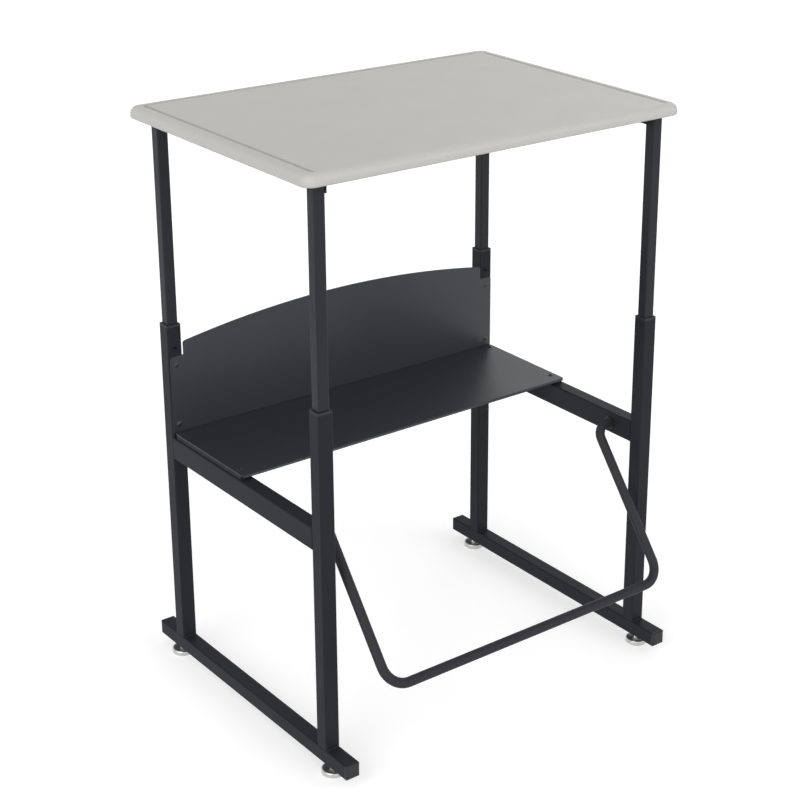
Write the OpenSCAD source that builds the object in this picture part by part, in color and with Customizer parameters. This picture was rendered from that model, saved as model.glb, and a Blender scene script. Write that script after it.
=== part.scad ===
// Study desk with telescoping legs, a book shelf, an arched back panel and a swinging footrest.
// Millimetres. +X is the user's right, +Y points away from the user, +Z is up.
// The origin is on the floor, in the middle of the desk's outline box.

/* [Desktop] */
// Width from side to side
top_w = 711.2; // [500:0.1:1200]
// Depth from front to back
top_d = 505; // [480:0.1:700]
// Thickness of the board
top_t = 19.05; // [18:0.05:32]
// Radius of the rounding along the upper edges
top_edge_r = 12.7; // [8:0.1:13]
// Radius of the rounding along the lower edges
low_edge_r = 3.2; // [1:0.1:4.5]
// Radius of the four corners seen from above
top_corner_r = 19; // [14:0.1:60]
// Height of the work surface above the floor at this setting of the legs
desk_h = 968; // [664:0.5:1069]
// How far the middle of the desktop lies behind the middle of the legs
top_setback = 7.5; // [0:0.5:20]
// Width of the pencil groove; its bottom is a half round
groove_w = 7; // [5:0.1:8]
// Depth of the pencil groove
groove_depth = 4.5; // [4.1:0.1:6]
// Distance from the edge of the desktop to the middle of the groove
groove_inset = 21; // [19:0.1:40]
// Radius of the groove's middle line in the two rear corners
groove_turn_r = 8; // [5:0.1:40]
// Distance from the front edge of the desktop to the groove's two ends
groove_stop = 14; // [13.5:0.5:40]

/* [Legs] */
// Distance from each side of the desktop to the middle of the legs below it
leg_inset = 33.4; // [14:0.1:100]
// Distance between the middles of the front and rear legs
leg_span_y = 432.8; // [380:0.1:460]
// How far the middle of the legs lies behind the origin
legs_y = 23.4; // [0:0.1:60]
// Outer width of the square upper leg tubes
upper_leg_w = 19.05; // [16:0.05:20]
// Length of the upper leg tubes
upper_leg_l = 560; // [500:1:570]
// Outer width of the square lower leg tubes
lower_leg_w = 25.4; // [25.4:0.05:32]
// Length of the lower leg tubes
lower_leg_l = 562; // [556:0.1:600]
// How much longer the rear lower leg tubes are than the front ones
rear_leg_extra = 4.5; // [0:0.1:8]
// Wall of all the square and rectangular tubes
tube_wall = 1.5; // [1.2:0.1:2]
// Outer corner radius of those tubes
tube_corner_r = 2.5; // [2.1:0.1:4]

/* [Leg bushes, guides and clamping screws] */
// Height of the bush's collar above the mouth of the lower leg
bush_collar_h = 4; // [3:0.1:8]
// Depth of the bush's sleeve inside the lower leg
bush_sleeve_l = 24; // [12:0.5:26]
// Radius of the rounded edge around the top of the collar
bush_edge_r = 2; // [1:0.1:2.5]
// Gap left on each side where a tube slides
slide_gap = 0.3; // [0.3:0.05:0.5]
// Height of the guide's foot below the upper leg
guide_foot_h = 6; // [3:0.5:12]
// Length of the guide's plug inside the upper leg
guide_plug_l = 14; // [8:0.5:30]
// Thread diameter of the headless clamping screws
clamp_screw_d = 6; // [5:0.5:8]
// How far a clamping screw stands out of its nut
clamp_screw_out = 1.5; // [0.5:0.1:6]
// How far a rivet nut's flange stands out around its barrel
clamp_nut_lip = 1.2; // [1:0.1:2]
// Flange thickness of the rivet nuts
clamp_nut_t = 0.8; // [0.6:0.1:2]
// Wall of the rivet nuts
clamp_nut_wall = 1.2; // [0.8:0.1:1.5]
// Distance from the mouth of the lower leg down to the clamping screw
clamp_drop = 31.5; // [31:0.5:37]

/* [Foot rails] */
// Outer width and height of the square foot rails
foot_rail_w = 25.4; // [25.4:0.05:32]
// Length of a foot rail with its end caps
foot_rail_l = 568; // [520:0.1:700]
// Thickness of a cap's head
cap_head_t = 5.5; // [5:0.1:8]
// Radius of the rounded edge around a cap's head
cap_edge_r = 4.5; // [1:0.1:4.8]
// Depth of a cap's plug inside the rail
cap_plug_l = 12; // [8:0.5:20]
// Wall of the plastic plugs
plug_wall = 2; // [1.2:0.1:3]

/* [Levelling glides] */
// Distance from the floor to the underside of the foot rails, glides screwed right in
glide_h = 16.9; // [15:0.1:22]
// Diameter of the glide's foot
glide_d = 38; // [24:0.5:50]
// Height of the glide's foot at its rim
glide_foot_h = 9.5; // [6:0.1:10.5]
// Further rise of the foot's shallow cone towards the stem
glide_cone_h = 1; // [0.5:0.1:2]
// Bevel around the bottom of the foot
glide_bevel = 1.5; // [0.5:0.1:3]
// Radius of the rounded edge around the top of the foot
glide_edge_r = 2.5; // [0.5:0.1:2.5]
// How far each glide lies outside the middle of its leg
glide_offset = 13; // [8:0.5:30]
// Diameter of the glide's threaded stem
glide_stem_d = 8; // [6:0.5:10]
// Length of the stem inside the foot rail
glide_stem_in = 19; // [14:0.5:22]
// Width across the flats of the hexagon on the stem
glide_hex_af = 11; // [10:0.5:17]
// Length of the threaded insert inside the foot rail
insert_l = 12; // [8:0.5:14]
// Wall of the threaded insert
insert_wall = 1.6; // [1.2:0.1:2.5]
// Thickness of the insert's flange under the rail
insert_flange_t = 1.2; // [0.8:0.1:2]

/* [Side rails] */
// Width of the side rails
side_rail_w = 25.4; // [20:0.1:25.4]
// Height of the side rails
side_rail_h = 38.1; // [32:0.1:50]
// Height of the top of the side rails above the foot rails
side_rail_rise = 375; // [300:0.1:378]

/* [Shelf] */
// How far the shelf reaches past the middle of each side rail
shelf_overlap = 10; // [8:0.1:12.5]
// Depth of the shelf from its front lip to the back panel
shelf_d = 210.8; // [120:0.1:300]
// Height of the shelf's surface above the side rails
shelf_rise = 9; // [7:0.1:12]
// Distance of the packing strips' ends from the shelf's front edge and from the back panel
strip_end_gap = 6; // [3:0.5:20]
// Radius of the packing strips' corners
strip_corner_r = 2; // [1:0.1:4]
// Thickness of the shelf's and the back panel's steel sheet
sheet_t = 1.5; // [1:0.1:2]
// Height of the lips turned down along the shelf's front and rear edges
shelf_lip_h = 4; // [3.5:0.1:6]
// Outer radius of the bends above the lips
shelf_bend_r = 2.5; // [2.2:0.1:4]
// Radius of the shelf's four corners
shelf_corner_r = 6; // [3:0.5:15]
// Distance of the front screws from the shelf's front edge; the rear ones stand half as far in
shelf_screw_inset = 26; // [16:0.5:50]

/* [Back panel] */
// How far the lower part reaches past the middle of each rear leg
panel_overlap = 10.8; // [6:0.1:12]
// Distance from the middle of each rear leg to the upper part's edge
panel_neck_inset = 14; // [10:0.1:60]
// Height of the lower part above the shelf
panel_shoulder_h = 132.4; // [125:0.1:138]
// Height of the arched edge above the shelf at its ends
panel_end_h = 155.4; // [146:0.1:162]
// Height of the arched edge above the shelf in the middle
panel_apex_h = 182.4; // [172:0.1:197]
// Radius of the panel's outer corners
panel_corner_r = 5; // [2:0.1:8]
// Height of the lower pair of screws above the shelf
panel_screw_low = 13.5; // [10:0.5:40]
// Height of the upper pair of screws above the shelf
panel_screw_high = 117.5; // [80:0.5:120]

/* [Footrest] */
// Diameter of the footrest tube
rest_d = 15.9; // [12:0.1:19]
// Wall of the footrest tube
rest_wall = 1.5; // [1:0.1:2]
// Distance from each side rail to the middle of the arm beside it
rest_arm_gap = 30; // [28:0.1:160]
// Distance from the pivots to the middle of the foot bar
rest_arm_l = 277; // [200:0.5:350]
// Middle radius of the two bends at the foot bar
rest_bar_bend_r = 35; // [25:0.5:60]
// Middle radius of the two bends at the pivots
rest_pivot_bend_r = 22; // [18:0.5:24]
// Forward swing of the footrest from hanging plumb
rest_swing = 37.8; // [0:0.1:55]
// How far the pivots lie in front of the middle of the legs
rest_pivot_front = 153; // [100:0.5:165]
// How far the pivots lie below the top of the side rails
rest_pivot_drop = 20.6; // [17:0.1:22]
// Length of the tube's ends inside the side rails
rest_end_in = 14; // [8:0.5:16]
// Wall of the footrest bushes
rest_bush_wall = 1.8; // [1.2:0.1:2.5]
// How far a footrest bush's flange stands out around its barrel
rest_bush_lip = 1.6; // [1.5:0.1:5]
// Flange thickness of the footrest bushes
rest_bush_flange_t = 2; // [1.5:0.1:3]
// Length of the bush's barrel inside the side rail
rest_bush_barrel_l = 8; // [4:0.5:9]

/* [Top bars and screws] */
// Width of the angle's flange under the desktop
angle_w = 25.4; // [20:0.1:40]
// Height of the angle's flange against the legs
angle_h = 16; // [10:0.1:25]
// Thickness of the angle
angle_t = 2.5; // [2:0.1:4]
// Number of desktop screws in each angle
angle_screws = 4; // [2:1:8]
// Distance of the end screws from the ends of the angle
angle_screw_inset = 45; // [25:1:100]
// Shank diameter of the desktop screws
wood_screw_d = 4.2; // [3:0.1:5]
// Depth of the desktop screws in the desktop
wood_screw_in = 13; // [10:0.5:15]
// Shank diameter of the shelf's screws
sheet_screw_d = 4.8; // [3.5:0.1:6]
// Shank diameter of the back panel's screws
panel_screw_d = 4.2; // [3:0.1:4.8]
// Head diameter of the shelf's and back panel's screws
sheet_head_d = 10; // [9:0.1:12]
// Head height of the shelf's and back panel's screws
sheet_head_h = 2; // [1.5:0.1:3]
// Width across the flats of all the screws' hexagon sockets, as a share of the shank diameter
socket_share = 0.6; // [0.4:0.05:0.65]
// Length of the shelf's screws below the packing strips
sheet_screw_in = 6; // [3:0.5:9]
// Gap around screws, plugs and inserts in their holes
snug = 0.05; // [0.02:0.01:0.08]

/* [Hidden] */
$fn = 64;
ring_fn = 96;
cut = 1;
clear_of = 0.3;
leg_span_x = top_w - 2 * leg_inset;
half_x = leg_span_x / 2;
half_y = leg_span_y / 2;
top_under_z = desk_h - top_t;
foot_top_z = glide_h + foot_rail_w;
leg_mouth_z = foot_top_z + lower_leg_l;
lower_bore = lower_leg_w - 2 * tube_wall;
upper_bore = upper_leg_w - 2 * tube_wall;
clamp_z = leg_mouth_z - clamp_drop;
side_top_z = foot_top_z + side_rail_rise;
side_mid_z = side_top_z - side_rail_h / 2;
pivot_z = side_top_z - rest_pivot_drop;
side_rail_l = leg_span_y - lower_leg_w;
rear_leg_face_y = half_y - lower_leg_w / 2;
shelf_rear_y = rear_leg_face_y - sheet_t;
shelf_top_z = side_top_z + shelf_rise;
shelf_w = leg_span_x + 2 * shelf_overlap;
strip_h = shelf_rise - sheet_t;
shelf_front_screw_y = shelf_rear_y - shelf_d + shelf_screw_inset;
shelf_rear_screw_y = shelf_rear_y - shelf_screw_inset / 2;
panel_screw_zs = [shelf_top_z + panel_screw_low, shelf_top_z + panel_screw_high];
panel_screw_in = tube_wall + (lower_bore - upper_leg_w) / 2 - clear_of;
panel_w = leg_span_x + 2 * panel_overlap;
panel_neck_w = leg_span_x - 2 * panel_neck_inset;
arch_rise = panel_apex_h - panel_end_h;
arch_r = (pow(panel_neck_w / 2, 2) + pow(arch_rise, 2)) / (2 * arch_rise);
arch_center_h = panel_apex_h - arch_r;
arch_fillet_x = panel_neck_w / 2 - panel_corner_r;
arch_fillet_h = arch_center_h + sqrt(pow(arch_r - panel_corner_r, 2) - pow(arch_fillet_x, 2));
arch_half_w = arch_fillet_x * arch_r / (arch_r - panel_corner_r);
pivot_inner_x = half_x - side_rail_w / 2;
rest_w = 2 * (pivot_inner_x - rest_arm_gap);
rest_end_x = pivot_inner_x + rest_end_in;
rest_bush_d = rest_d + 2 * (snug + rest_bush_wall);
angle_l = leg_span_y + upper_leg_w;
angle_face_x = half_x - upper_leg_w / 2;
angle_screw_x = angle_face_x - angle_t - (angle_w - angle_t) / 2;
angle_screw_step = (angle_l - 2 * angle_screw_inset) / (angle_screws - 1);
clamp_barrel_d = clamp_screw_d + 2 * (snug + clamp_nut_wall);
insert_d = glide_stem_d + 2 * (snug + insert_wall);
insert_flange_d = insert_d + 5;
greige = "#C4C4BC";
charcoal = "#3A3C40";
black = "#1C1D1F";
zinc = "#C9CBCD";

// A rectangle with four rounded corners, about its middle
module rounded_rect(w, h, r) {
    square([w - 2 * r, h], center = true);
    square([w, h - 2 * r], center = true);
    for (sx = [-1, 1], sy = [-1, 1])
        translate([sx * (w / 2 - r), sy * (h / 2 - r)]) circle(r);
}

// The section of a square or rectangular tube
module tube_section(w, h) {
    difference() {
        rounded_rect(w, h, tube_corner_r);
        rounded_rect(w - 2 * tube_wall, h - 2 * tube_wall, tube_corner_r - tube_wall);
    }
}

// Puts its children at the middle of a leg; side is -1 left or 1 right, end is -1 front or 1 rear
module at_leg(side, end) {
    translate([side * half_x, legs_y + end * half_y, 0]) children();
}

module at_legs() {
    for (side = [-1, 1], end = [-1, 1]) at_leg(side, end) rotate(end < 0 ? 0 : 180) children();
}

// A domed head on z = 0 with a hexagon socket, and a shank that points down
module button_screw(shank_d, shank_l, head_d, head_h) {
    dome_r = (pow(head_d / 2, 2) + pow(head_h, 2)) / (2 * head_h);
    translate([0, 0, -shank_l]) cylinder(d = shank_d, h = shank_l + head_h / 4);
    difference() {
        rotate_extrude() intersection() {
            translate([0, head_h - dome_r]) circle(dome_r, $fn = 4 * ring_fn);
            square([head_d / 2, head_h]);
        }
        translate([0, 0, head_h / 3])
            cylinder(d = socket_share * shank_d / cos(30), h = head_h, $fn = 6);
    }
}

// Section of the desktop from its underside up, a given length wide: each end has a large
// rounding above and a small one below
module board_section(length) {
    upper_z = top_t - top_edge_r;
    translate([top_edge_r - length / 2, low_edge_r])
        square([length - 2 * top_edge_r, top_t - low_edge_r]);
    translate([low_edge_r - length / 2, 0]) square([length - 2 * low_edge_r, upper_z]);
    translate([-length / 2, low_edge_r]) square([length, upper_z - low_edge_r]);
    for (side = [-1, 1]) {
        translate([side * (length / 2 - low_edge_r), low_edge_r]) circle(low_edge_r);
        intersection() {
            translate([side * (length / 2 - top_edge_r), upper_z]) circle(top_edge_r);
            translate([-length / 2, upper_z]) square([length, top_edge_r]);
        }
    }
}

module desktop_blank() {
    translate([0, 0, top_under_z]) {
        rotate([90, 0, 90]) linear_extrude(top_w - 2 * top_corner_r, center = true)
            board_section(top_d);
        rotate([90, 0, 0]) linear_extrude(top_d - 2 * top_corner_r, center = true)
            board_section(top_w);
        for (side = [-1, 1], end = [-1, 1])
            translate([side * (top_w / 2 - top_corner_r), end * (top_d / 2 - top_corner_r), 0])
                rotate_extrude($fn = ring_fn) intersection() {
                    board_section(2 * top_corner_r);
                    square([top_corner_r, top_t]);
                }
    }
}

// Section of the ball-nosed cutter, from the bottom of the groove to above the desktop
module groove_section() {
    translate([0, groove_w / 2 - groove_depth]) circle(d = groove_w);
    translate([-groove_w / 2, groove_w / 2 - groove_depth]) square([groove_w, groove_depth]);
}

// The cutter's path: up each side from a stop near the front edge and round the two rear corners
module groove_cut() {
    run_x = top_w / 2 - groove_inset;
    rear_y = top_d / 2 - groove_inset;
    front_y = groove_stop + groove_w / 2 - top_d / 2;
    translate([0, 0, desk_h]) {
        for (side = [-1, 1]) {
            translate([side * run_x, rear_y - groove_turn_r, 0]) rotate([90, 0, 0])
                linear_extrude(rear_y - groove_turn_r - front_y) groove_section();
            translate([side * run_x, front_y, 0]) rotate_extrude() intersection() {
                groove_section();
                translate([0, -groove_depth]) square([groove_w, groove_depth + groove_w]);
            }
            translate([side * (run_x - groove_turn_r), rear_y - groove_turn_r, 0])
                rotate(side > 0 ? 0 : 90) rotate_extrude(angle = 90, $fn = ring_fn)
                    translate([groove_turn_r, 0]) groove_section();
        }
        translate([groove_turn_r - run_x, rear_y, 0]) rotate([90, 0, 90])
            linear_extrude(2 * (run_x - groove_turn_r)) groove_section();
    }
}

// Puts its children at each desktop screw, on the underside of an angle's flange
module at_desktop_screws() {
    for (side = [-1, 1], i = [0:angle_screws - 1])
        translate([side * angle_screw_x, legs_y - angle_l / 2 + angle_screw_inset + i * angle_screw_step,
            top_under_z - angle_t]) children();
}

module desktop() {
    color(greige) difference() {
        translate([0, legs_y + top_setback, 0]) difference() {
            desktop_blank();
            groove_cut();
        }
        at_desktop_screws() cylinder(d = wood_screw_d + 2 * snug, h = angle_t + wood_screw_in + snug);
    }
}

module upper_leg(side, end) {
    color(charcoal) at_leg(side, end) translate([0, 0, top_under_z - upper_leg_l])
        linear_extrude(upper_leg_l) tube_section(upper_leg_w, upper_leg_w);
}

// Rolled angle: one flange lies against the legs' inner faces, the other under the desktop
module top_bar(side) {
    color(charcoal) difference() {
        translate([side * angle_face_x, legs_y, top_under_z]) mirror([side > 0 ? 1 : 0, 0, 0])
            rotate([90, 0, 0]) linear_extrude(angle_l, center = true) difference() {
                translate([0, -angle_h]) square([angle_w, angle_h]);
                translate([angle_t, -angle_h - cut]) square([angle_w, angle_h - angle_t + cut]);
            }
        at_desktop_screws() translate([0, 0, -cut])
            cylinder(d = wood_screw_d + 2 * snug, h = angle_t + 2 * cut);
    }
}

module desktop_screws() {
    color(zinc) at_desktop_screws() rotate([180, 0, 0])
        button_screw(wood_screw_d, angle_t + wood_screw_in, 2 * wood_screw_d, wood_screw_d / 2);
}

// Plastic foot that slides in the lower leg, with a hollow plug pushed into the upper leg.
// Channels down the middle of the foot's four faces pass the tips of the back panel's screws.
module upper_leg_guides() {
    foot_w = lower_bore - 2 * slide_gap;
    plug_w = upper_bore - 2 * snug;
    channel_w = 2 * panel_screw_d;
    color(black) at_legs() translate([0, 0, top_under_z - upper_leg_l]) difference() {
        union() {
            translate([0, 0, -guide_foot_h]) linear_extrude(guide_foot_h) difference() {
                rounded_rect(foot_w, foot_w, tube_corner_r - tube_wall);
                for (turn = [0:90:270]) rotate(turn)
                    translate([-channel_w / 2, upper_leg_w / 2]) square([channel_w, foot_w]);
            }
            linear_extrude(guide_plug_l) rounded_rect(plug_w, plug_w, tube_corner_r - tube_wall);
        }
        linear_extrude(guide_plug_l + cut)
            rounded_rect(plug_w - 2 * plug_wall, plug_w - 2 * plug_wall, tube_corner_r - tube_wall);
    }
}

// Height of the open upper end of a lower leg
function mouth_z(end) = leg_mouth_z + (end > 0 ? rear_leg_extra : 0);

// The clamping screw enters the face that looks towards the middle of the side frame
module lower_leg(side, end) {
    color(charcoal) at_leg(side, end) rotate(end < 0 ? 0 : 180) difference() {
        translate([0, 0, foot_top_z]) linear_extrude(mouth_z(end) - foot_top_z)
            tube_section(lower_leg_w, lower_leg_w);
        translate([0, 0, clamp_z]) rotate([-90, 0, 0])
            cylinder(d = clamp_barrel_d + 2 * snug, h = lower_leg_w / 2 + cut);
        if (end > 0) for (z = panel_screw_zs) translate([0, 0, z]) rotate([-90, 0, 0])
            cylinder(d = panel_screw_d + 2 * snug, h = lower_leg_w / 2 + cut);
    }
}

// Collar with a rounded top edge, flush with the lower leg, and a sleeve down its mouth
module leg_bushes() {
    sleeve_w = lower_bore - 2 * snug;
    bore_w = upper_leg_w + 2 * slide_gap;
    for (side = [-1, 1], end = [-1, 1]) color(black) at_leg(side, end)
        translate([0, 0, mouth_z(end)]) difference() {
            union() {
                intersection() {
                    linear_extrude(bush_collar_h) rounded_rect(lower_leg_w, lower_leg_w, tube_corner_r);
                    for_both_ways() linear_extrude(lower_leg_w + 2 * cut, center = true)
                        rounded_rect(lower_leg_w, 2 * bush_collar_h, bush_edge_r);
                }
                translate([0, 0, -bush_sleeve_l]) linear_extrude(bush_sleeve_l + bush_collar_h / 2)
                    rounded_rect(sleeve_w, sleeve_w, tube_corner_r - tube_wall);
            }
            translate([0, 0, -bush_sleeve_l - cut])
                linear_extrude(bush_sleeve_l + bush_collar_h + 2 * cut)
                    rounded_rect(bore_w, bore_w, tube_corner_r);
        }
}

// The space common to a profile extruded along X and the same profile extruded along Y
module for_both_ways() {
    intersection() {
        rotate([90, 0, 0]) children();
        rotate([90, 0, 90]) children();
    }
}

// Headless screws with a hexagon socket; their tips stop short of the upper legs
module height_screws() {
    reach = upper_leg_w / 2 + slide_gap;
    outer = lower_leg_w / 2 + clamp_nut_t + clamp_screw_out;
    color(black) at_legs() translate([0, 0, clamp_z]) rotate([-90, 0, 0]) difference() {
        translate([0, 0, reach]) cylinder(d = clamp_screw_d, h = outer - reach);
        translate([0, 0, outer - clamp_screw_d / 2])
            cylinder(d = socket_share * clamp_screw_d / cos(30), h = clamp_screw_d, $fn = 6);
    }
}

// Rivet nuts: a thin flange outside the tube and a short barrel through its wall
module height_nuts() {
    reach = upper_leg_w / 2 + slide_gap;
    wall_l = lower_leg_w / 2 - reach + clamp_nut_t;
    color(charcoal) at_legs() translate([0, 0, clamp_z]) rotate([-90, 0, 0]) difference() {
        union() {
            translate([0, 0, reach]) cylinder(d = clamp_barrel_d, h = wall_l);
            translate([0, 0, lower_leg_w / 2])
                cylinder(d = clamp_barrel_d + 2 * clamp_nut_lip, h = clamp_nut_t);
        }
        translate([0, 0, reach - cut]) cylinder(d = clamp_screw_d + 2 * snug, h = wall_l + 2 * cut);
    }
}

// Puts its children at each levelling glide, on the floor
module at_glide(side, end) {
    at_leg(side, end) translate([0, end * glide_offset, 0]) children();
}

module foot_rail(side) {
    color(charcoal) difference() {
        translate([side * half_x, legs_y, glide_h + foot_rail_w / 2]) rotate([90, 0, 0])
            linear_extrude(foot_rail_l - 2 * cap_head_t, center = true)
                tube_section(foot_rail_w, foot_rail_w);
        for (end = [-1, 1]) at_glide(side, end)
            translate([0, 0, glide_h - cut]) cylinder(d = insert_d + 2 * snug, h = tube_wall + 2 * cut);
    }
}

// Plastic plugs: a head flush with the rail and a hollow plug inside it
module foot_rail_caps() {
    plug_w = foot_rail_w - 2 * tube_wall - 2 * snug;
    hollow_w = plug_w - 2 * plug_wall;
    color(black) for (side = [-1, 1], end = [0, 180])
        translate([side * half_x, legs_y, glide_h + foot_rail_w / 2]) rotate(end)
            translate([0, -foot_rail_l / 2, 0]) rotate([-90, 0, 0]) difference() {
                union() {
                    intersection() {
                        linear_extrude(cap_head_t) rounded_rect(foot_rail_w, foot_rail_w, tube_corner_r);
                        for_both_ways() linear_extrude(foot_rail_w + 2 * cut, center = true)
                            translate([0, cap_head_t])
                                rounded_rect(foot_rail_w, 2 * cap_head_t, cap_edge_r);
                    }
                    translate([0, 0, cap_head_t / 2]) linear_extrude(cap_head_t / 2 + cap_plug_l)
                        rounded_rect(plug_w, plug_w, tube_corner_r - tube_wall);
                }
                translate([0, 0, cap_head_t]) linear_extrude(cap_plug_l + cut)
                    rounded_rect(hollow_w, hollow_w, tube_corner_r - tube_wall);
            }
}

// Threaded inserts with a thin flange under the rail
module glide_nuts() {
    color(zinc) for (side = [-1, 1], end = [-1, 1]) at_glide(side, end) difference() {
        union() {
            translate([0, 0, glide_h - insert_flange_t])
                cylinder(d = insert_flange_d, h = insert_flange_t);
            translate([0, 0, glide_h - insert_flange_t])
                cylinder(d = insert_d, h = insert_flange_t + insert_l);
        }
        translate([0, 0, glide_h - insert_flange_t - cut])
            cylinder(d = glide_stem_d + 2 * snug, h = insert_l + insert_flange_t + 2 * cut);
    }
}

// Steel foot with a bevelled underside, hexagon and threaded stem
module glide(side, end) {
    foot_r = glide_d / 2;
    top_z = glide_foot_h + glide_cone_h;
    hex_z = glide_h - insert_flange_t - clear_of;
    color(zinc) at_glide(side, end) {
        rotate_extrude($fn = ring_fn) {
            polygon([
                [0, 0], [foot_r - glide_bevel, 0], [foot_r, glide_bevel],
                [foot_r, glide_foot_h - glide_edge_r], [foot_r - glide_edge_r, glide_foot_h],
                [glide_hex_af / 2, top_z], [0, top_z]
            ]);
            translate([foot_r - glide_edge_r, glide_foot_h - glide_edge_r]) circle(glide_edge_r);
        }
        translate([0, 0, glide_foot_h])
            cylinder(d = glide_hex_af / cos(30), h = hex_z - glide_foot_h, $fn = 6);
        cylinder(d = glide_stem_d, h = glide_h + glide_stem_in);
    }
}

// The bush's hole goes through the inner wall only; the shelf's screws enter the top wall
module side_rail(side) {
    color(charcoal) difference() {
        translate([side * half_x, legs_y, side_mid_z]) rotate([90, 0, 0])
            linear_extrude(side_rail_l, center = true) tube_section(side_rail_w, side_rail_h);
        at_pivot(side) translate([0, 0, -cut])
            cylinder(d = rest_bush_d + 2 * snug, h = tube_wall + 2 * cut);
        at_shelf_screws() translate([0, 0, -shelf_rise - tube_wall - cut])
            cylinder(d = sheet_screw_d + 2 * snug, h = tube_wall + 2 * cut);
    }
}

// Puts its children on the inner face of a side rail, at the footrest's pivot, z pointing outwards
module at_pivot(side) {
    translate([side * pivot_inner_x, legs_y - rest_pivot_front, pivot_z])
        rotate([0, side * 90, 0]) children();
}

module at_shelf_screws() {
    for (side = [-1, 1], y = [shelf_front_screw_y, shelf_rear_screw_y])
        translate([side * half_x, legs_y + y, shelf_top_z]) children();
}

// Pressed sheet with lips turned down along the front and rear; its bottom is open
module shelf() {
    fold_h = 2 * shelf_lip_h;
    color(charcoal) difference() {
        translate([0, legs_y + shelf_rear_y - shelf_d / 2, shelf_top_z]) intersection() {
            rotate([90, 0, 90]) linear_extrude(shelf_w, center = true)
                translate([0, -shelf_lip_h]) difference() {
                    rounded_rect(shelf_d, fold_h, shelf_bend_r);
                    rounded_rect(shelf_d - 2 * sheet_t, fold_h - 2 * sheet_t, shelf_bend_r - sheet_t);
                    translate([-shelf_d, -fold_h]) square([2 * shelf_d, fold_h]);
                }
            translate([0, 0, -fold_h]) linear_extrude(2 * fold_h)
                rounded_rect(shelf_w, shelf_d, shelf_corner_r);
        }
        at_shelf_screws() translate([0, 0, -sheet_t - cut])
            cylinder(d = sheet_screw_d + 2 * snug, h = sheet_t + 2 * cut);
    }
}

// Coated flat bars that hold the shelf up off the side rails; their sides are flush with its ends
module packing_strips() {
    strip_l = shelf_d - 2 * strip_end_gap;
    color(charcoal) difference() {
        for (side = [-1, 1])
            translate([side * half_x, legs_y + shelf_rear_y - shelf_d / 2, side_top_z])
                linear_extrude(strip_h) rounded_rect(2 * shelf_overlap, strip_l, strip_corner_r);
        at_shelf_screws() translate([0, 0, -shelf_rise - cut])
            cylinder(d = sheet_screw_d + 2 * snug, h = shelf_rise + 2 * cut);
    }
}

module shelf_screws() {
    color(charcoal) at_shelf_screws()
        button_screw(sheet_screw_d, shelf_rise + sheet_screw_in, sheet_head_d, sheet_head_h);
}

// Puts its children at each back panel screw, on the panel's front face, z pointing forwards
module at_panel_screws() {
    for (side = [-1, 1], z = panel_screw_zs)
        translate([side * half_x, legs_y + shelf_rear_y, z]) rotate([90, 0, 0]) children();
}

// Above the shelf's surface: a wide lower part that stands on the side rails, with rounded
// shoulders, and a neck under a shallow arch
module panel_outline() {
    intersection() {
        translate([0, panel_shoulder_h - panel_w / 2]) rounded_rect(panel_w, panel_w, panel_corner_r);
        translate([-panel_w, -shelf_rise]) square([2 * panel_w, panel_w]);
    }
    intersection() {
        translate([0, arch_center_h]) circle(arch_r, $fn = 720);
        translate([-arch_half_w, 0]) square([2 * arch_half_w, panel_apex_h]);
    }
    translate([-panel_neck_w / 2, 0]) square([panel_neck_w, arch_fillet_h]);
    for (side = [-1, 1]) translate([side * arch_fillet_x, arch_fillet_h]) circle(panel_corner_r);
}

module back_panel() {
    color(charcoal) difference() {
        translate([0, legs_y + rear_leg_face_y, shelf_top_z]) rotate([90, 0, 0])
            linear_extrude(sheet_t) panel_outline();
        at_panel_screws() translate([0, 0, -sheet_t - cut])
            cylinder(d = panel_screw_d + 2 * snug, h = sheet_t + 2 * cut);
    }
}

module back_panel_screws() {
    color(charcoal) at_panel_screws()
        button_screw(panel_screw_d, sheet_t + panel_screw_in, sheet_head_d, sheet_head_h);
}

// Flanged bushes pushed into the side rails from inside
module footrest_bushes() {
    color(black) for (side = [-1, 1]) at_pivot(side) difference() {
        union() {
            translate([0, 0, -rest_bush_flange_t])
                cylinder(d = rest_bush_d + 2 * rest_bush_lip, h = rest_bush_flange_t);
            translate([0, 0, -rest_bush_flange_t])
                cylinder(d = rest_bush_d, h = rest_bush_flange_t + rest_bush_barrel_l);
        }
        translate([0, 0, -rest_bush_flange_t - cut])
            cylinder(d = rest_d + 2 * snug, h = rest_bush_flange_t + rest_bush_barrel_l + 2 * cut);
    }
}

// Solid round bar along the footrest's middle line, hanging plumb below the pivots at z = 0
module rest_path(d) {
    arm_x = rest_w / 2;
    end_x = rest_end_x;
    for (side = [-1, 1]) {
        translate([side * (arm_x + rest_pivot_bend_r), 0, 0]) rotate([0, side * 90, 0])
            cylinder(d = d, h = end_x - arm_x - rest_pivot_bend_r);
        translate([side * (arm_x + rest_pivot_bend_r), 0, -rest_pivot_bend_r]) rotate([90, 0, 0])
            rotate(side > 0 ? 90 : 0) rotate_extrude(angle = 90, $fn = ring_fn)
                translate([rest_pivot_bend_r, 0]) circle(d / 2);
        translate([side * arm_x, 0, rest_bar_bend_r - rest_arm_l])
            cylinder(d = d, h = rest_arm_l - rest_bar_bend_r - rest_pivot_bend_r);
        translate([side * (arm_x - rest_bar_bend_r), 0, rest_bar_bend_r - rest_arm_l]) rotate([90, 0, 0])
            rotate(side > 0 ? 270 : 180) rotate_extrude(angle = 90, $fn = ring_fn)
                translate([rest_bar_bend_r, 0]) circle(d / 2);
    }
    translate([rest_bar_bend_r - arm_x, 0, -rest_arm_l]) rotate([0, 90, 0])
        cylinder(d = d, h = 2 * (arm_x - rest_bar_bend_r));
}

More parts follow.
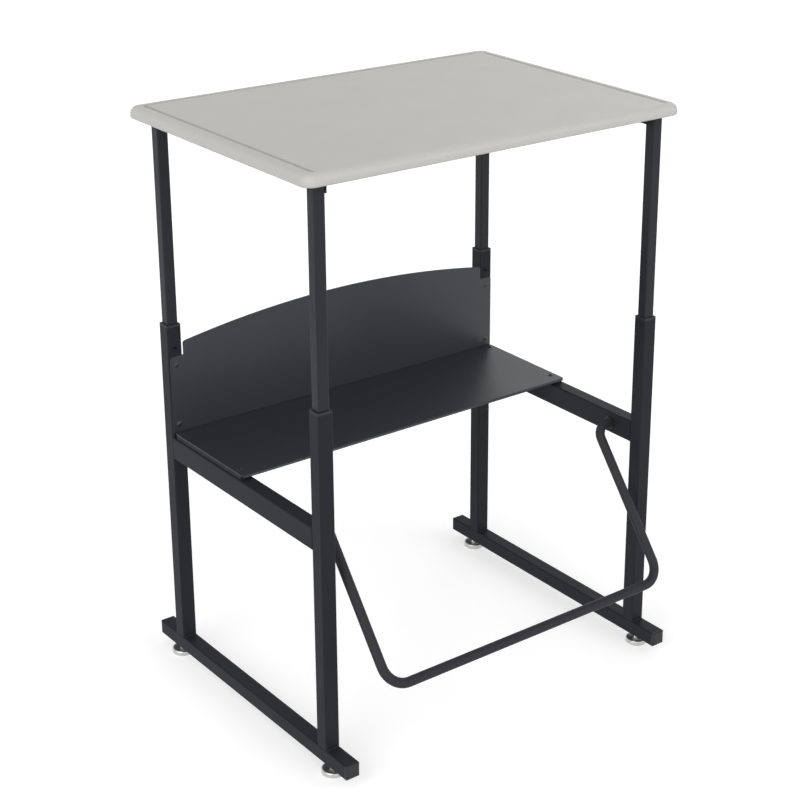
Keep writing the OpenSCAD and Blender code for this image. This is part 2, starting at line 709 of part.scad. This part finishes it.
// One bent tube: two arms, the foot bar, and two ends that turn outwards into the bushes
module footrest_bar() {
    color(charcoal) translate([0, legs_y - rest_pivot_front, pivot_z]) rotate([-rest_swing, 0, 0])
        difference() {
            rest_path(rest_d);
            rest_path(rest_d - 2 * rest_wall);
        }
}

desktop();
upper_leg(-1, -1);  // upper_leg_front_left
upper_leg(1, -1);  // upper_leg_front_right
upper_leg(-1, 1);  // upper_leg_rear_left
upper_leg(1, 1);  // upper_leg_rear_right
top_bar(-1);  // top_bar_left
top_bar(1);  // top_bar_right
desktop_screws();
upper_leg_guides();
lower_leg(-1, -1);  // lower_leg_front_left
lower_leg(1, -1);  // lower_leg_front_right
lower_leg(-1, 1);  // lower_leg_rear_left
lower_leg(1, 1);  // lower_leg_rear_right
leg_bushes();
height_screws();
height_nuts();
foot_rail(-1);  // foot_rail_left
foot_rail(1);  // foot_rail_right
foot_rail_caps();
glide_nuts();
side_rail(-1);  // side_rail_left
side_rail(1);  // side_rail_right
packing_strips();
shelf();
shelf_screws();
back_panel();
back_panel_screws();
footrest_bushes();
footrest_bar();
glide(-1, -1);  // glide_front_left
glide(1, -1);  // glide_front_right
glide(-1, 1);  // glide_rear_left
glide(1, 1);  // glide_rear_right
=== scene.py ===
"""Looks of a stand-up study desk with telescoping legs, a book shelf and a swinging footrest.

Everything is in metres, in the part's own frame: +X right, +Y away from the user, +Z up.
"""

import math

import bpy
import numpy as np
from mathutils import Matrix, Vector


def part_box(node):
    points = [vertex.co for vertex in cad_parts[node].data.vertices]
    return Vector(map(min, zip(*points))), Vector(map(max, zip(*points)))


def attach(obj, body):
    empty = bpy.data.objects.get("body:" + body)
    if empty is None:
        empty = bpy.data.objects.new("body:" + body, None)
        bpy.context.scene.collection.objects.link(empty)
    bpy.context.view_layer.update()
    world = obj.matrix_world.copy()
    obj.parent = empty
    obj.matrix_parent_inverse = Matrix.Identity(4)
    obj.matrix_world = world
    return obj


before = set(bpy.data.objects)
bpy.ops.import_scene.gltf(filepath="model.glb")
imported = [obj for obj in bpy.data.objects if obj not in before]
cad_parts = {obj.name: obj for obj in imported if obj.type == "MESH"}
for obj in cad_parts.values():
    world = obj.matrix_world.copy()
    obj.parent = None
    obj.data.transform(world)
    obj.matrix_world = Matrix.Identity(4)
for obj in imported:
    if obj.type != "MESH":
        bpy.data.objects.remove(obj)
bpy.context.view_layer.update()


# Lower frame: two foot rails, four lower legs and two side rails, all of drawn steel tube.
# They are welded into two side frames and then coated together in one charcoal powder coat,
# which melts into a continuous skin with a fine pebbled surface and a soft sheen.

def hex_colour(code):
    """Turns an sRGB colour such as #C4C4BC into linear RGBA: ((c + 0.055) / 1.055) ** 2.4."""
    parts = [int(code[i:i + 2], 16) / 255 for i in (1, 3, 5)]
    return [((c + 0.055) / 1.055) ** 2.4 if c > 0.04045 else c / 12.92 for c in parts] + [1.0]


def add_node(tree, kind, settings=None, sockets=None):
    """Adds one shader node, sets its properties, and sets or links its input sockets."""
    made = tree.nodes.new("ShaderNode" + kind)
    for field, value in (settings or {}).items():
        setattr(made, field, value)
    for name, value in (sockets or {}).items():
        if isinstance(value, bpy.types.NodeSocket):
            tree.links.new(value, made.inputs[name])
        else:
            made.inputs[name].default_value = value
    return made


def new_finish(name):
    """Starts an empty material and returns it with its node tree."""
    finish = bpy.data.materials.new(name)
    finish.use_nodes = True
    finish.node_tree.nodes.clear()
    return finish, finish.node_tree


def coat_nodes(nodes, finish):
    """Gives each of the CAD nodes one finish all over."""
    for node in nodes:
        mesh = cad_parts[node].data
        mesh.materials.clear()
        mesh.materials.append(finish)


def powder_coat(name, dark, light, shine, roughness, relief, rubbed=False):
    """Charcoal polyester powder coat between two tones, with a specular level for its shine.

    The roughness is a low and a high value, and broad soft patches vary it between them, as
    oven-cured coats do. The real pebble is about 0.5 mm across and is drawn larger, so that it
    shows in a picture; relief is how strongly it stands up. Rubbed adds faint vertical slide
    marks, for the tubes that move inside the lower legs.
    """
    pebble_size, pebble_height, patch_size = 0.0014, 0.00012, 0.09
    mark_width, mark_stretch, mark_polish = 0.0012, 50, 0.14
    finish, tree = new_finish(name)
    place = add_node(tree, "TexCoord").outputs["Object"]
    pebble = add_node(tree, "TexNoise", None, {
        "Vector": place, "Scale": 1 / pebble_size, "Detail": 2.0, "Roughness": 0.55})
    patches = add_node(tree, "TexNoise", None, {
        "Vector": place, "Scale": 1 / patch_size, "Detail": 3.0, "Roughness": 0.6})
    sheen = add_node(tree, "MapRange", None, {
        "Value": patches.outputs["Fac"], "From Min": 0.3, "From Max": 0.7,
        "To Min": roughness[0], "To Max": roughness[1]}).outputs["Result"]
    if rubbed:
        stretched = add_node(tree, "Mapping", None, {
            "Vector": place, "Scale": (1.0, 1.0, 1 / mark_stretch)})
        streaks = add_node(tree, "TexNoise", None, {
            "Vector": stretched.outputs["Vector"], "Scale": 1 / mark_width, "Detail": 3.0})
        polish = add_node(tree, "MapRange", None, {
            "Value": streaks.outputs["Fac"], "From Min": 0.56, "From Max": 0.70,
            "To Min": 0.0, "To Max": mark_polish})
        sheen = add_node(tree, "Math", {"operation": "SUBTRACT"}, {
            0: sheen, 1: polish.outputs["Result"]}).outputs["Value"]
    tint = add_node(tree, "Mix", {"data_type": "RGBA"}, {
        0: pebble.outputs["Fac"], 6: hex_colour(dark), 7: hex_colour(light)})
    bump = add_node(tree, "Bump", None, {
        "Height": pebble.outputs["Fac"], "Strength": relief, "Distance": pebble_height})
    coat = add_node(tree, "BsdfPrincipled", None, {
        "Base Color": tint.outputs[2], "Roughness": sheen, "IOR": 1.5,
        "Specular IOR Level": shine, "Normal": bump.outputs["Normal"]})
    add_node(tree, "OutputMaterial", None, {"Surface": coat.outputs["BSDF"]})
    return finish


lower_legs = ("lower_leg_front_left", "lower_leg_front_right",
              "lower_leg_rear_left", "lower_leg_rear_right")
side_rails = ("side_rail_left", "side_rail_right")
charcoal_dark, charcoal_light = "#1D1F24", "#2A2D32"
frame_coat = powder_coat("charcoal_powder_coat", charcoal_dark, charcoal_light, shine=0.08,
                         roughness=(0.42, 0.50), relief=0.30)
coat_nodes(("foot_rail_left", "foot_rail_right") + side_rails + lower_legs, frame_coat)


# Weld beads: short arc-welded fillets where the tubes meet, laid before the coat goes on.
# Each is a row of overlapping ripples, rounded over at both ends, in the same charcoal coat.
# The seams at the sides of the side rails are flush with the legs and were ground flat.

def closed_rings(rings):
    """Joins (count, sides, 3) rings of points with quads, ring by ring, and closes both ends."""
    count, sides = rings.shape[:2]
    ring, spot = np.meshgrid(np.arange(count - 1), np.arange(sides), indexing="ij")
    after = (spot + 1) % sides
    quads = np.stack([ring * sides + spot, ring * sides + after,
                      (ring + 1) * sides + after, (ring + 1) * sides + spot], axis=-1)
    faces = quads.reshape(-1, 4).tolist()
    faces += [list(range(sides))[::-1], list(range((count - 1) * sides, count * sides))]
    return rings.reshape(-1, 3), faces


def fillet_bead(start, end, out, along, size):
    """Returns the points and faces of one weld bead along the corner from start to end.

    A point of the bead is path + r * (out * cos t + along * sin t) for t from 0 to 90 degrees, where
    r = size * (1 + ripple * cos(2 pi s / pitch + lean * sin 2t)) and s is the length so far. The path
    has points path_step apart or a little less. The root of the corner closes each ring, a
    root_depth inside the tubes, and r falls to end_share within one pitch of an end.
    """
    path_step, arc_points, root_depth = 0.0003, 7, 0.0002
    pitch, ripple, lean, end_share = 0.0019, 0.09, 1.2, 0.4
    start, end, out, along = (np.array(given) for given in (start, end, out, along))
    count = int(np.linalg.norm(end - start) / path_step) + 2
    path = start + (end - start) * np.linspace(0, 1, count)[:, None]
    steps = np.linalg.norm(np.diff(path, axis=0), axis=1)
    length = np.concatenate([[0.0], np.cumsum(steps)])
    turn = np.linspace(0, np.pi / 2, arc_points)
    to_end = np.minimum(length, length[-1] - length) / pitch
    rounding = np.sqrt(np.clip(1 - (1 - np.clip(to_end, 0, 1)) ** 2, 0, 1))
    taper = end_share + (1 - end_share) * rounding
    wave = np.cos(2 * np.pi * length[:, None] / pitch + lean * np.sin(2 * turn)[None, :])
    reach = size * taper[:, None] * (1 + ripple * wave)
    arc = (path[:, None, :]
           + reach[..., None] * (out * np.cos(turn)[None, :, None]
                                 + along * np.sin(turn)[None, :, None]))
    root = path[:, None, :] - root_depth * (out + along)
    return closed_rings(np.concatenate([root, arc], axis=1))


def solid_piece(name, shells, finish, body):
    """Joins closed shells of (points, faces) into one object at the origin, normals outwards."""
    points, faces, start = [], [], 0
    for shell_points, shell_faces in shells:
        points.append(shell_points)
        faces += [[index + start for index in face] for face in shell_faces]
        start += len(shell_points)
    mesh = bpy.data.meshes.new(name)
    mesh.from_pydata(np.concatenate(points).tolist(), [], faces)
    piece = bpy.data.objects.new(name, mesh)
    bpy.context.scene.collection.objects.link(piece)
    bpy.context.view_layer.objects.active = piece
    piece.select_set(True)
    bpy.ops.object.mode_set(mode="EDIT")
    bpy.ops.mesh.select_all(action="SELECT")
    bpy.ops.mesh.normals_make_consistent(inside=False)
    bpy.ops.object.mode_set(mode="OBJECT")
    piece.select_set(False)
    mesh.polygons.foreach_set("use_smooth", np.ones(len(mesh.polygons), dtype=bool))
    mesh.materials.append(finish)
    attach(piece, body)
    return piece


tube_corner_r = 0.0025
foot_bead_size, rail_bead_size = 0.0030, 0.0025
foot_beads = []
for leg in lower_legs:
    low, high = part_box(leg)
    for face_y, out_y in ((low[1], -1.0), (high[1], 1.0)):
        foot_beads.append(fillet_bead([low[0] + tube_corner_r, face_y, low[2]],
                                      [high[0] - tube_corner_r, face_y, low[2]],
                                      [0.0, out_y, 0.0], [0.0, 0.0, 1.0], foot_bead_size))
solid_piece("foot_weld_beads", foot_beads, frame_coat, "base")


# Each rail has a bead under both of its ends, and one more on top of its front end.
rail_beads = []
for rail in side_rails:
    low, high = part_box(rail)
    for face_y, inward, z, out_z in ((low[1], 1.0, low[2], -1.0), (low[1], 1.0, high[2], 1.0),
                                     (high[1], -1.0, low[2], -1.0)):
        rail_beads.append(fillet_bead([low[0] + tube_corner_r, face_y, z],
                                      [high[0] - tube_corner_r, face_y, z],
                                      [0.0, 0.0, out_z], [0.0, inward, 0.0], rail_bead_size))
solid_piece("side_rail_weld_beads", rail_beads, frame_coat, "base")


# Moulded nylon: end caps in the foot rails, guide bushes in the lower legs' mouths, guides in
# the upper legs' ends, and the footrest's flanged bushes. Black nylon from a spark-eroded mould,
# matt with a fine grain.

def moulded_nylon():
    """Black nylon; the mould's grain is about 0.3 mm and is drawn at 0.9 mm so that it shows."""
    grain_size, grain_height, flow_size = 0.0009, 0.00008, 0.02
    finish, tree = new_finish("black_moulded_nylon")
    place = add_node(tree, "TexCoord").outputs["Object"]
    grain = add_node(tree, "TexNoise", None, {
        "Vector": place, "Scale": 1 / grain_size, "Detail": 3.0, "Roughness": 0.7})
    flow = add_node(tree, "TexNoise", None, {
        "Vector": place, "Scale": 1 / flow_size, "Detail": 2.0})
    gloss = add_node(tree, "MapRange", None, {
        "Value": flow.outputs["Fac"], "From Min": 0.3, "From Max": 0.7,
        "To Min": 0.50, "To Max": 0.62})
    tint = add_node(tree, "Mix", {"data_type": "RGBA"}, {
        0: grain.outputs["Fac"], 6: hex_colour("#141517"), 7: hex_colour("#1E1F22")})
    bump = add_node(tree, "Bump", None, {
        "Height": grain.outputs["Fac"], "Strength": 0.25, "Distance": grain_height})
    plastic = add_node(tree, "BsdfPrincipled", None, {
        "Base Color": tint.outputs[2], "Roughness": gloss.outputs["Result"], "IOR": 1.53,
        "Specular IOR Level": 0.4, "Normal": bump.outputs["Normal"]})
    add_node(tree, "OutputMaterial", None, {"Surface": plastic.outputs["BSDF"]})
    return finish


coat_nodes(("foot_rail_caps", "leg_bushes", "footrest_bushes", "upper_leg_guides"),
           moulded_nylon())


# Levelling glides, their threaded inserts and the desktop's screws: turned steel, bright
# nickel-zinc plated. The plate is satin, with faint turning rings round the axis of each glide.

def plated_steel(name, centre):
    """Bright satin plate with faint rings round a centre, and smudges about 6 mm across.

    The wave pattern turns by one radian every 0.6 mm, so its rings lie 2 pi times that apart, at
    3.8 mm. Real tool marks are near 0.1 mm, which is too fine to show.
    """
    radians_per_unit = 20
    ring_radian, ring_height, smudge_size = 0.0006, 0.00005, 0.006
    finish, tree = new_finish(name)
    place = add_node(tree, "TexCoord").outputs["Object"]
    centred = add_node(tree, "Mapping", None, {
        "Vector": place, "Location": (-centre[0], -centre[1], 0.0)})
    rings = add_node(tree, "TexWave", {"wave_type": "RINGS", "rings_direction": "Z"}, {
        "Vector": centred.outputs["Vector"], "Scale": 1 / ring_radian / radians_per_unit,
        "Distortion": 0.6, "Detail": 1.0})
    smudge = add_node(tree, "TexNoise", None, {
        "Vector": place, "Scale": 1 / smudge_size, "Detail": 3.0})
    gloss = add_node(tree, "MapRange", None, {
        "Value": smudge.outputs["Fac"], "From Min": 0.3, "From Max": 0.75,
        "To Min": 0.30, "To Max": 0.44})
    tint = add_node(tree, "Mix", {"data_type": "RGBA"}, {
        0: smudge.outputs["Fac"], 6: hex_colour("#CDCECE"), 7: hex_colour("#C2C2BE")})
    bump = add_node(tree, "Bump", None, {
        "Height": rings.outputs["Fac"], "Strength": 0.08, "Distance": ring_height})
    plate = add_node(tree, "BsdfPrincipled", None, {
        "Base Color": tint.outputs[2], "Metallic": 1.0, "Roughness": gloss.outputs["Result"],
        "Normal": bump.outputs["Normal"]})
    add_node(tree, "OutputMaterial", None, {"Surface": plate.outputs["BSDF"]})
    return finish


for glide in ("glide_front_left", "glide_front_right", "glide_rear_left", "glide_rear_right"):
    low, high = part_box(glide)
    axis = [(low[0] + high[0]) / 2, (low[1] + high[1]) / 2]
    coat_nodes([glide], plated_steel("plated_" + glide, axis))
# The inserts and the screws share one finish, so its rings spread from the middle of the desk.
desk_middle = [0.0, 0.0]
coat_nodes(("glide_nuts", "desktop_screws"), plated_steel("plated_fasteners", desk_middle))


# Shelf and back panel: laser-cut, pressed sheet steel, whose coat flows out smoother and shinier
# than on the tubes. Coated button-head screws fix both; black headless screws clamp the legs.
# The strips under the shelf and the clamping screws' rivet nuts have the frame's coat.

def black_oxide():
    """Blackened steel: a thin dark oxide with brownish patches about 3 mm across."""
    patch_size, patch_height = 0.003, 0.0001
    finish, tree = new_finish("black_oxide_steel")
    place = add_node(tree, "TexCoord").outputs["Object"]
    patches = add_node(tree, "TexNoise", None, {
        "Vector": place, "Scale": 1 / patch_size, "Detail": 3.0})
    gloss = add_node(tree, "MapRange", None, {
        "Value": patches.outputs["Fac"], "From Min": 0.3, "From Max": 0.7,
        "To Min": 0.32, "To Max": 0.5})
    tint = add_node(tree, "Mix", {"data_type": "RGBA"}, {
        0: patches.outputs["Fac"], 6: hex_colour("#232325"), 7: hex_colour("#33302E")})
    bump = add_node(tree, "Bump", None, {
        "Height": patches.outputs["Fac"], "Strength": 0.15, "Distance": patch_height})
    oxide = add_node(tree, "BsdfPrincipled", None, {
        "Base Color": tint.outputs[2], "Metallic": 0.85, "Roughness": gloss.outputs["Result"],
        "Normal": bump.outputs["Normal"]})
    add_node(tree, "OutputMaterial", None, {"Surface": oxide.outputs["BSDF"]})
    return finish


sheet_coat = powder_coat("charcoal_powder_coat_smooth", "#1F2328", "#2A2E34", shine=0.50,
                         roughness=(0.37, 0.41), relief=0.08)
coat_nodes(("shelf", "back_panel", "shelf_screws", "back_panel_screws"), sheet_coat)
coat_nodes(("packing_strips", "height_nuts"), frame_coat)
coat_nodes(["height_screws"], black_oxide())


# Footrest: one round steel tube with four bends, sprung into the nylon bushes of the side rails.
# Its charcoal coat is textured like the frame's and a shade paler; the paler tones are painted light,
# standing for the extra light the bar catches.

footrest_painted_light_coat = powder_coat("charcoal_powder_coat_painted_light", "#29292D", "#3A3A3F", shine=0.08,
                            roughness=(0.42, 0.50), relief=0.30)
coat_nodes(["footrest_bar"], footrest_painted_light_coat)


# Upper legs and top bars: slimmer square tubes that slide in the lower legs, joined under
# the desktop by two rolled angles. The tubes carry faint rub marks from being raised and lowered.

slide_coat = powder_coat("charcoal_powder_coat_rubbed", charcoal_dark, charcoal_light, shine=0.17,
                         roughness=(0.40, 0.48), relief=0.30, rubbed=True)
coat_nodes(("upper_leg_front_left", "upper_leg_front_right",
            "upper_leg_rear_left", "upper_leg_rear_right"), slide_coat)
coat_nodes(("top_bar_left", "top_bar_right"), frame_coat)

# A bead is laid only at a leg's face that the bar runs on past, and stops short of the bar's edges.
bar_bead_size, bar_run_on, bar_slack, bead_end_gap = 0.0024, 0.003, 0.0005, 0.001
bar_beads = []
for side, name in ((-1.0, "left"), (1.0, "right")):
    bar_low, bar_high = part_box("top_bar_" + name)
    for end in ("front", "rear"):
        low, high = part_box("upper_leg_" + end + "_" + name)
        inner_x = high[0] if side < 0 else low[0]
        for face_y, out_y in ((low[1], -1.0), (high[1], 1.0)):
            if bar_low[1] - bar_slack < face_y + out_y * bar_run_on < bar_high[1] + bar_slack:
                bar_beads.append(fillet_bead([inner_x, face_y, bar_low[2] + bead_end_gap],
                                             [inner_x, face_y, bar_high[2] - bead_end_gap],
                                             [0.0, out_y, 0.0], [side, 0.0, 0.0], bar_bead_size))
solid_piece("top_bar_weld_beads", bar_beads, frame_coat, "top")


# Desktop: wood-fibre board with a broad rounding along its upper edges, wrapped in a warm grey
# PVC foil that is drawn down over the edges and into the pencil groove by vacuum. Satin finish.

def foil_wrap():
    """Warm grey foil: flecks 1.1 mm across, soft cloudy shading 60 mm across, satin gloss."""
    fleck_size, cloud_size, pore_size, pore_depth = 0.0011, 0.06, 0.0013, 0.00008
    finish, tree = new_finish("satin_pvc_foil")
    place = add_node(tree, "TexCoord").outputs["Object"]
    flecks = add_node(tree, "TexNoise", None, {
        "Vector": place, "Scale": 1 / fleck_size, "Detail": 3.0, "Roughness": 0.65})
    clouds = add_node(tree, "TexNoise", None, {
        "Vector": place, "Scale": 1 / cloud_size, "Detail": 4.0, "Roughness": 0.55})
    fleck_mask = add_node(tree, "MapRange", None, {
        "Value": flecks.outputs["Fac"], "From Min": 0.38, "From Max": 0.62,
        "To Min": 0.0, "To Max": 1.0})
    ground = add_node(tree, "Mix", {"data_type": "RGBA"}, {
        0: fleck_mask.outputs["Result"], 6: hex_colour("#B7B6B2"), 7: hex_colour("#BEBDB9")})
    cloud_tone = add_node(tree, "Mix", {"data_type": "RGBA"}, {
        0: clouds.outputs["Fac"], 6: hex_colour("#FBFBFA"), 7: hex_colour("#FFFFFF")})
    shaded = add_node(tree, "Mix", {"data_type": "RGBA", "blend_type": "MULTIPLY"}, {
        0: 1.0, 6: ground.outputs[2], 7: cloud_tone.outputs[2]})
    gloss = add_node(tree, "MapRange", None, {
        "Value": clouds.outputs["Fac"], "From Min": 0.3, "From Max": 0.7,
        "To Min": 0.42, "To Max": 0.52})
    pores = add_node(tree, "TexVoronoi", {"feature": "SMOOTH_F1"}, {
        "Vector": place, "Scale": 1 / pore_size, "Randomness": 1.0})
    bump = add_node(tree, "Bump", None, {
        "Height": pores.outputs["Distance"], "Strength": 0.10, "Distance": pore_depth})
    foil = add_node(tree, "BsdfPrincipled", None, {
        "Base Color": shaded.outputs[2], "Roughness": gloss.outputs["Result"], "IOR": 1.52,
        "Specular IOR Level": 0.4, "Normal": bump.outputs["Normal"]})
    add_node(tree, "OutputMaterial", None, {"Surface": foil.outputs["BSDF"]})
    return finish


coat_nodes(["desktop"], foil_wrap())


# Balancing sheet: a thin melamine-faced paper glued under the desktop, inside the foil's edge,
# which keeps the board flat. Plain light grey with the faint fibre of pressed paper.

def backer_paper():
    """Matt light grey melamine paper with fibres about 2 mm long."""
    fibre_length, fibre_height = 0.002, 0.00005
    finish, tree = new_finish("grey_melamine_paper")
    place = add_node(tree, "TexCoord").outputs["Object"]
    fibres = add_node(tree, "TexNoise", None, {
        "Vector": place, "Scale": 1 / fibre_length, "Detail": 5.0, "Roughness": 0.7,
        "Distortion": 1.5})
    tint = add_node(tree, "Mix", {"data_type": "RGBA"}, {
        0: fibres.outputs["Fac"], 6: hex_colour("#A9A8A2"), 7: hex_colour("#B7B6B0")})
    bump = add_node(tree, "Bump", None, {
        "Height": fibres.outputs["Fac"], "Strength": 0.12, "Distance": fibre_height})
    paper = add_node(tree, "BsdfPrincipled", None, {
        "Base Color": tint.outputs[2], "Roughness": 0.6, "IOR": 1.5,
        "Normal": bump.outputs["Normal"]})
    add_node(tree, "OutputMaterial", None, {"Surface": paper.outputs["BSDF"]})
    return finish


def rounded_outline(low, high, radius, steps=16):
    """Points round a rectangle with quarter-circle corners, anticlockwise from the +X side."""
    corners = [(high[0], high[1], 0), (low[0], high[1], 90),
               (low[0], low[1], 180), (high[0], low[1], 270)]
    arcs = []
    for x, y, first in corners:
        angle = np.radians(first + np.linspace(0, 90, steps))
        sign_x, sign_y = (1 if x == high[0] else -1), (1 if y == high[1] else -1)
        arcs.append(np.stack([x - sign_x * radius + radius * np.cos(angle),
                              y - sign_y * radius + radius * np.sin(angle)], axis=1))
    return np.concatenate(arcs)


# The sheet's rings go down from just inside the board, and the last is drawn in to bevel its edge.
sheet_margin, sheet_thickness, sheet_corner_r, sheet_sink = 0.0085, 0.0003, 0.012, 0.0001
low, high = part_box("desktop")
outer = rounded_outline(np.array(low[:2]) + sheet_margin, np.array(high[:2]) - sheet_margin,
                        sheet_corner_r)
inner = rounded_outline(np.array(low[:2]) + sheet_margin + sheet_thickness,
                        np.array(high[:2]) - sheet_margin - sheet_thickness, sheet_corner_r)
levels = [(outer, low[2] + sheet_sink), (outer, low[2] - sheet_thickness / 2),
          (inner, low[2] - sheet_thickness)]
sheet_rings = np.stack([np.column_stack([ring, np.full(len(ring), z)]) for ring, z in levels])
backer = solid_piece("desktop_balancing_sheet", [closed_rings(sheet_rings)], backer_paper(),
                     "top")
backer.data.polygons.foreach_set("use_smooth", np.zeros(len(backer.data.polygons), dtype=bool))


# Studio: a pale seamless floor and a white surround, with broad soft suns from the left and
# from the front, and a faint one low at the back right that glances off the upward faces.
# To glossy rays the surround fades to a third upwards, so that gloss doesn't mirror all white.

def background_rays(tree):
    """One for the camera, glossy and transmission rays that show the background, else zero."""
    rays = add_node(tree, "LightPath")
    direct = add_node(tree, "Math", {"operation": "MAXIMUM"}, {
        0: rays.outputs["Is Camera Ray"], 1: rays.outputs["Is Glossy Ray"]})
    shown = add_node(tree, "Math", {"operation": "MAXIMUM"}, {
        0: direct.outputs["Value"], 1: rays.outputs["Is Transmission Ray"]})
    return shown.outputs["Value"]


def studio_floor(lift_strength):
    """Pale floor that takes the object's shadow; only its own background rays are lifted."""
    finish, tree = new_finish("pale_floor")
    lift = add_node(tree, "Math", {"operation": "MULTIPLY"}, {
        0: background_rays(tree), 1: lift_strength})
    paint = add_node(tree, "BsdfPrincipled", None, {
        "Base Color": hex_colour("#DADADA"), "Roughness": 0.9, "Specular IOR Level": 0.1,
        "Emission Color": hex_colour("#FFFFFF"), "Emission Strength": lift.outputs["Value"]})
    add_node(tree, "OutputMaterial", None, {"Surface": paint.outputs["BSDF"]})
    return finish


floor_reach = 30
floor_mesh = bpy.data.meshes.new("floor")
floor_mesh.from_pydata([(-floor_reach, -floor_reach, 0), (floor_reach, -floor_reach, 0),
                        (floor_reach, floor_reach, 0), (-floor_reach, floor_reach, 0)],
                       [], [(0, 1, 2, 3)])
floor = bpy.data.objects.new("floor", floor_mesh)
bpy.context.scene.collection.objects.link(floor)
floor_mesh.materials.append(studio_floor(lift_strength=0.46))

# The surround lights the desk at room_level. Camera rays see it at one, and glossy and
# transmission rays see one up to fade_start above the horizon and faded_level from fade_end on.
room_level, faded_level = 0.56, 0.35
fade_start, fade_end = math.radians(20), math.radians(34)
world = bpy.data.worlds.new("white_surround")
world.use_nodes = True
world.node_tree.nodes.clear()
height = add_node(world.node_tree, "SeparateXYZ", None, {
    "Vector": add_node(world.node_tree, "TexCoord").outputs["Generated"]}).outputs["Z"]
backdrop = add_node(world.node_tree, "MapRange", {"interpolation_type": "SMOOTHSTEP"}, {
    "Value": height, "From Min": math.sin(fade_start), "From Max": math.sin(fade_end),
    "To Min": 1.0, "To Max": faded_level})
seen = add_node(world.node_tree, "Math", {"operation": "MAXIMUM"}, {
    0: backdrop.outputs["Result"],
    1: add_node(world.node_tree, "LightPath").outputs["Is Camera Ray"]})
strength = add_node(world.node_tree, "MapRange", None, {
    "Value": background_rays(world.node_tree), "To Min": room_level,
    "To Max": seen.outputs["Value"]})
surround = add_node(world.node_tree, "Background", None, {
    "Color": hex_colour("#FFFFFF"), "Strength": strength.outputs["Result"]})
add_node(world.node_tree, "OutputWorld", None, {"Surface": surround.outputs["Background"]})
bpy.context.scene.world = world


def soft_sun(name, towards, spread, strength):
    """Adds a sun whose light travels along a direction; spread is its angular size in degrees."""
    lamp = bpy.data.lights.new(name, "SUN")
    lamp.angle = math.radians(spread)
    lamp.energy = strength
    stand = bpy.data.objects.new(name, lamp)
    bpy.context.scene.collection.objects.link(stand)
    stand.rotation_euler = Vector(towards).to_track_quat("-Z", "Y").to_euler()


soft_sun("key_sun", towards=(0.90, 0.30, -0.42), spread=50, strength=1.50)
soft_sun("fill_sun", towards=(-0.25, 0.90, -0.42), spread=60, strength=1.20)
soft_sun("rim_sun", towards=(-0.79, -0.49, -0.37), spread=30, strength=0.30)


# Camera: at the place from which the desk was photographed, found from its edges and corners.
# Yaw turns it from +Y towards +X, pitch tips it up and roll turns it about its own line of sight.
# The two shifts place the picture's middle off that line, as the same edges gave it.
camera_place = (-1.65896, -2.21406, 1.64951)
yaw, pitch, roll = math.radians(39.317), math.radians(-20.622), math.radians(0.733)
forward = Vector((math.sin(yaw) * math.cos(pitch), math.cos(yaw) * math.cos(pitch), math.sin(pitch)))
level_right = Vector((math.cos(yaw), -math.sin(yaw), 0.0))
level_up = level_right.cross(forward)
right = math.cos(roll) * level_right + math.sin(roll) * level_up
up = -math.sin(roll) * level_right + math.cos(roll) * level_up
lens = bpy.data.cameras.new("camera")
lens.sensor_width = 36.0
lens.lens = 81.887
lens.shift_x, lens.shift_y = -0.11581, -0.09425
camera = bpy.data.objects.new("camera", lens)
bpy.context.scene.collection.objects.link(camera)
camera.matrix_world = Matrix.Translation(camera_place) @ Matrix(
    (right, up, -forward)).transposed().to_4x4()
bpy.context.scene.camera = camera
bpy.context.scene.view_settings.view_transform = "Standard"
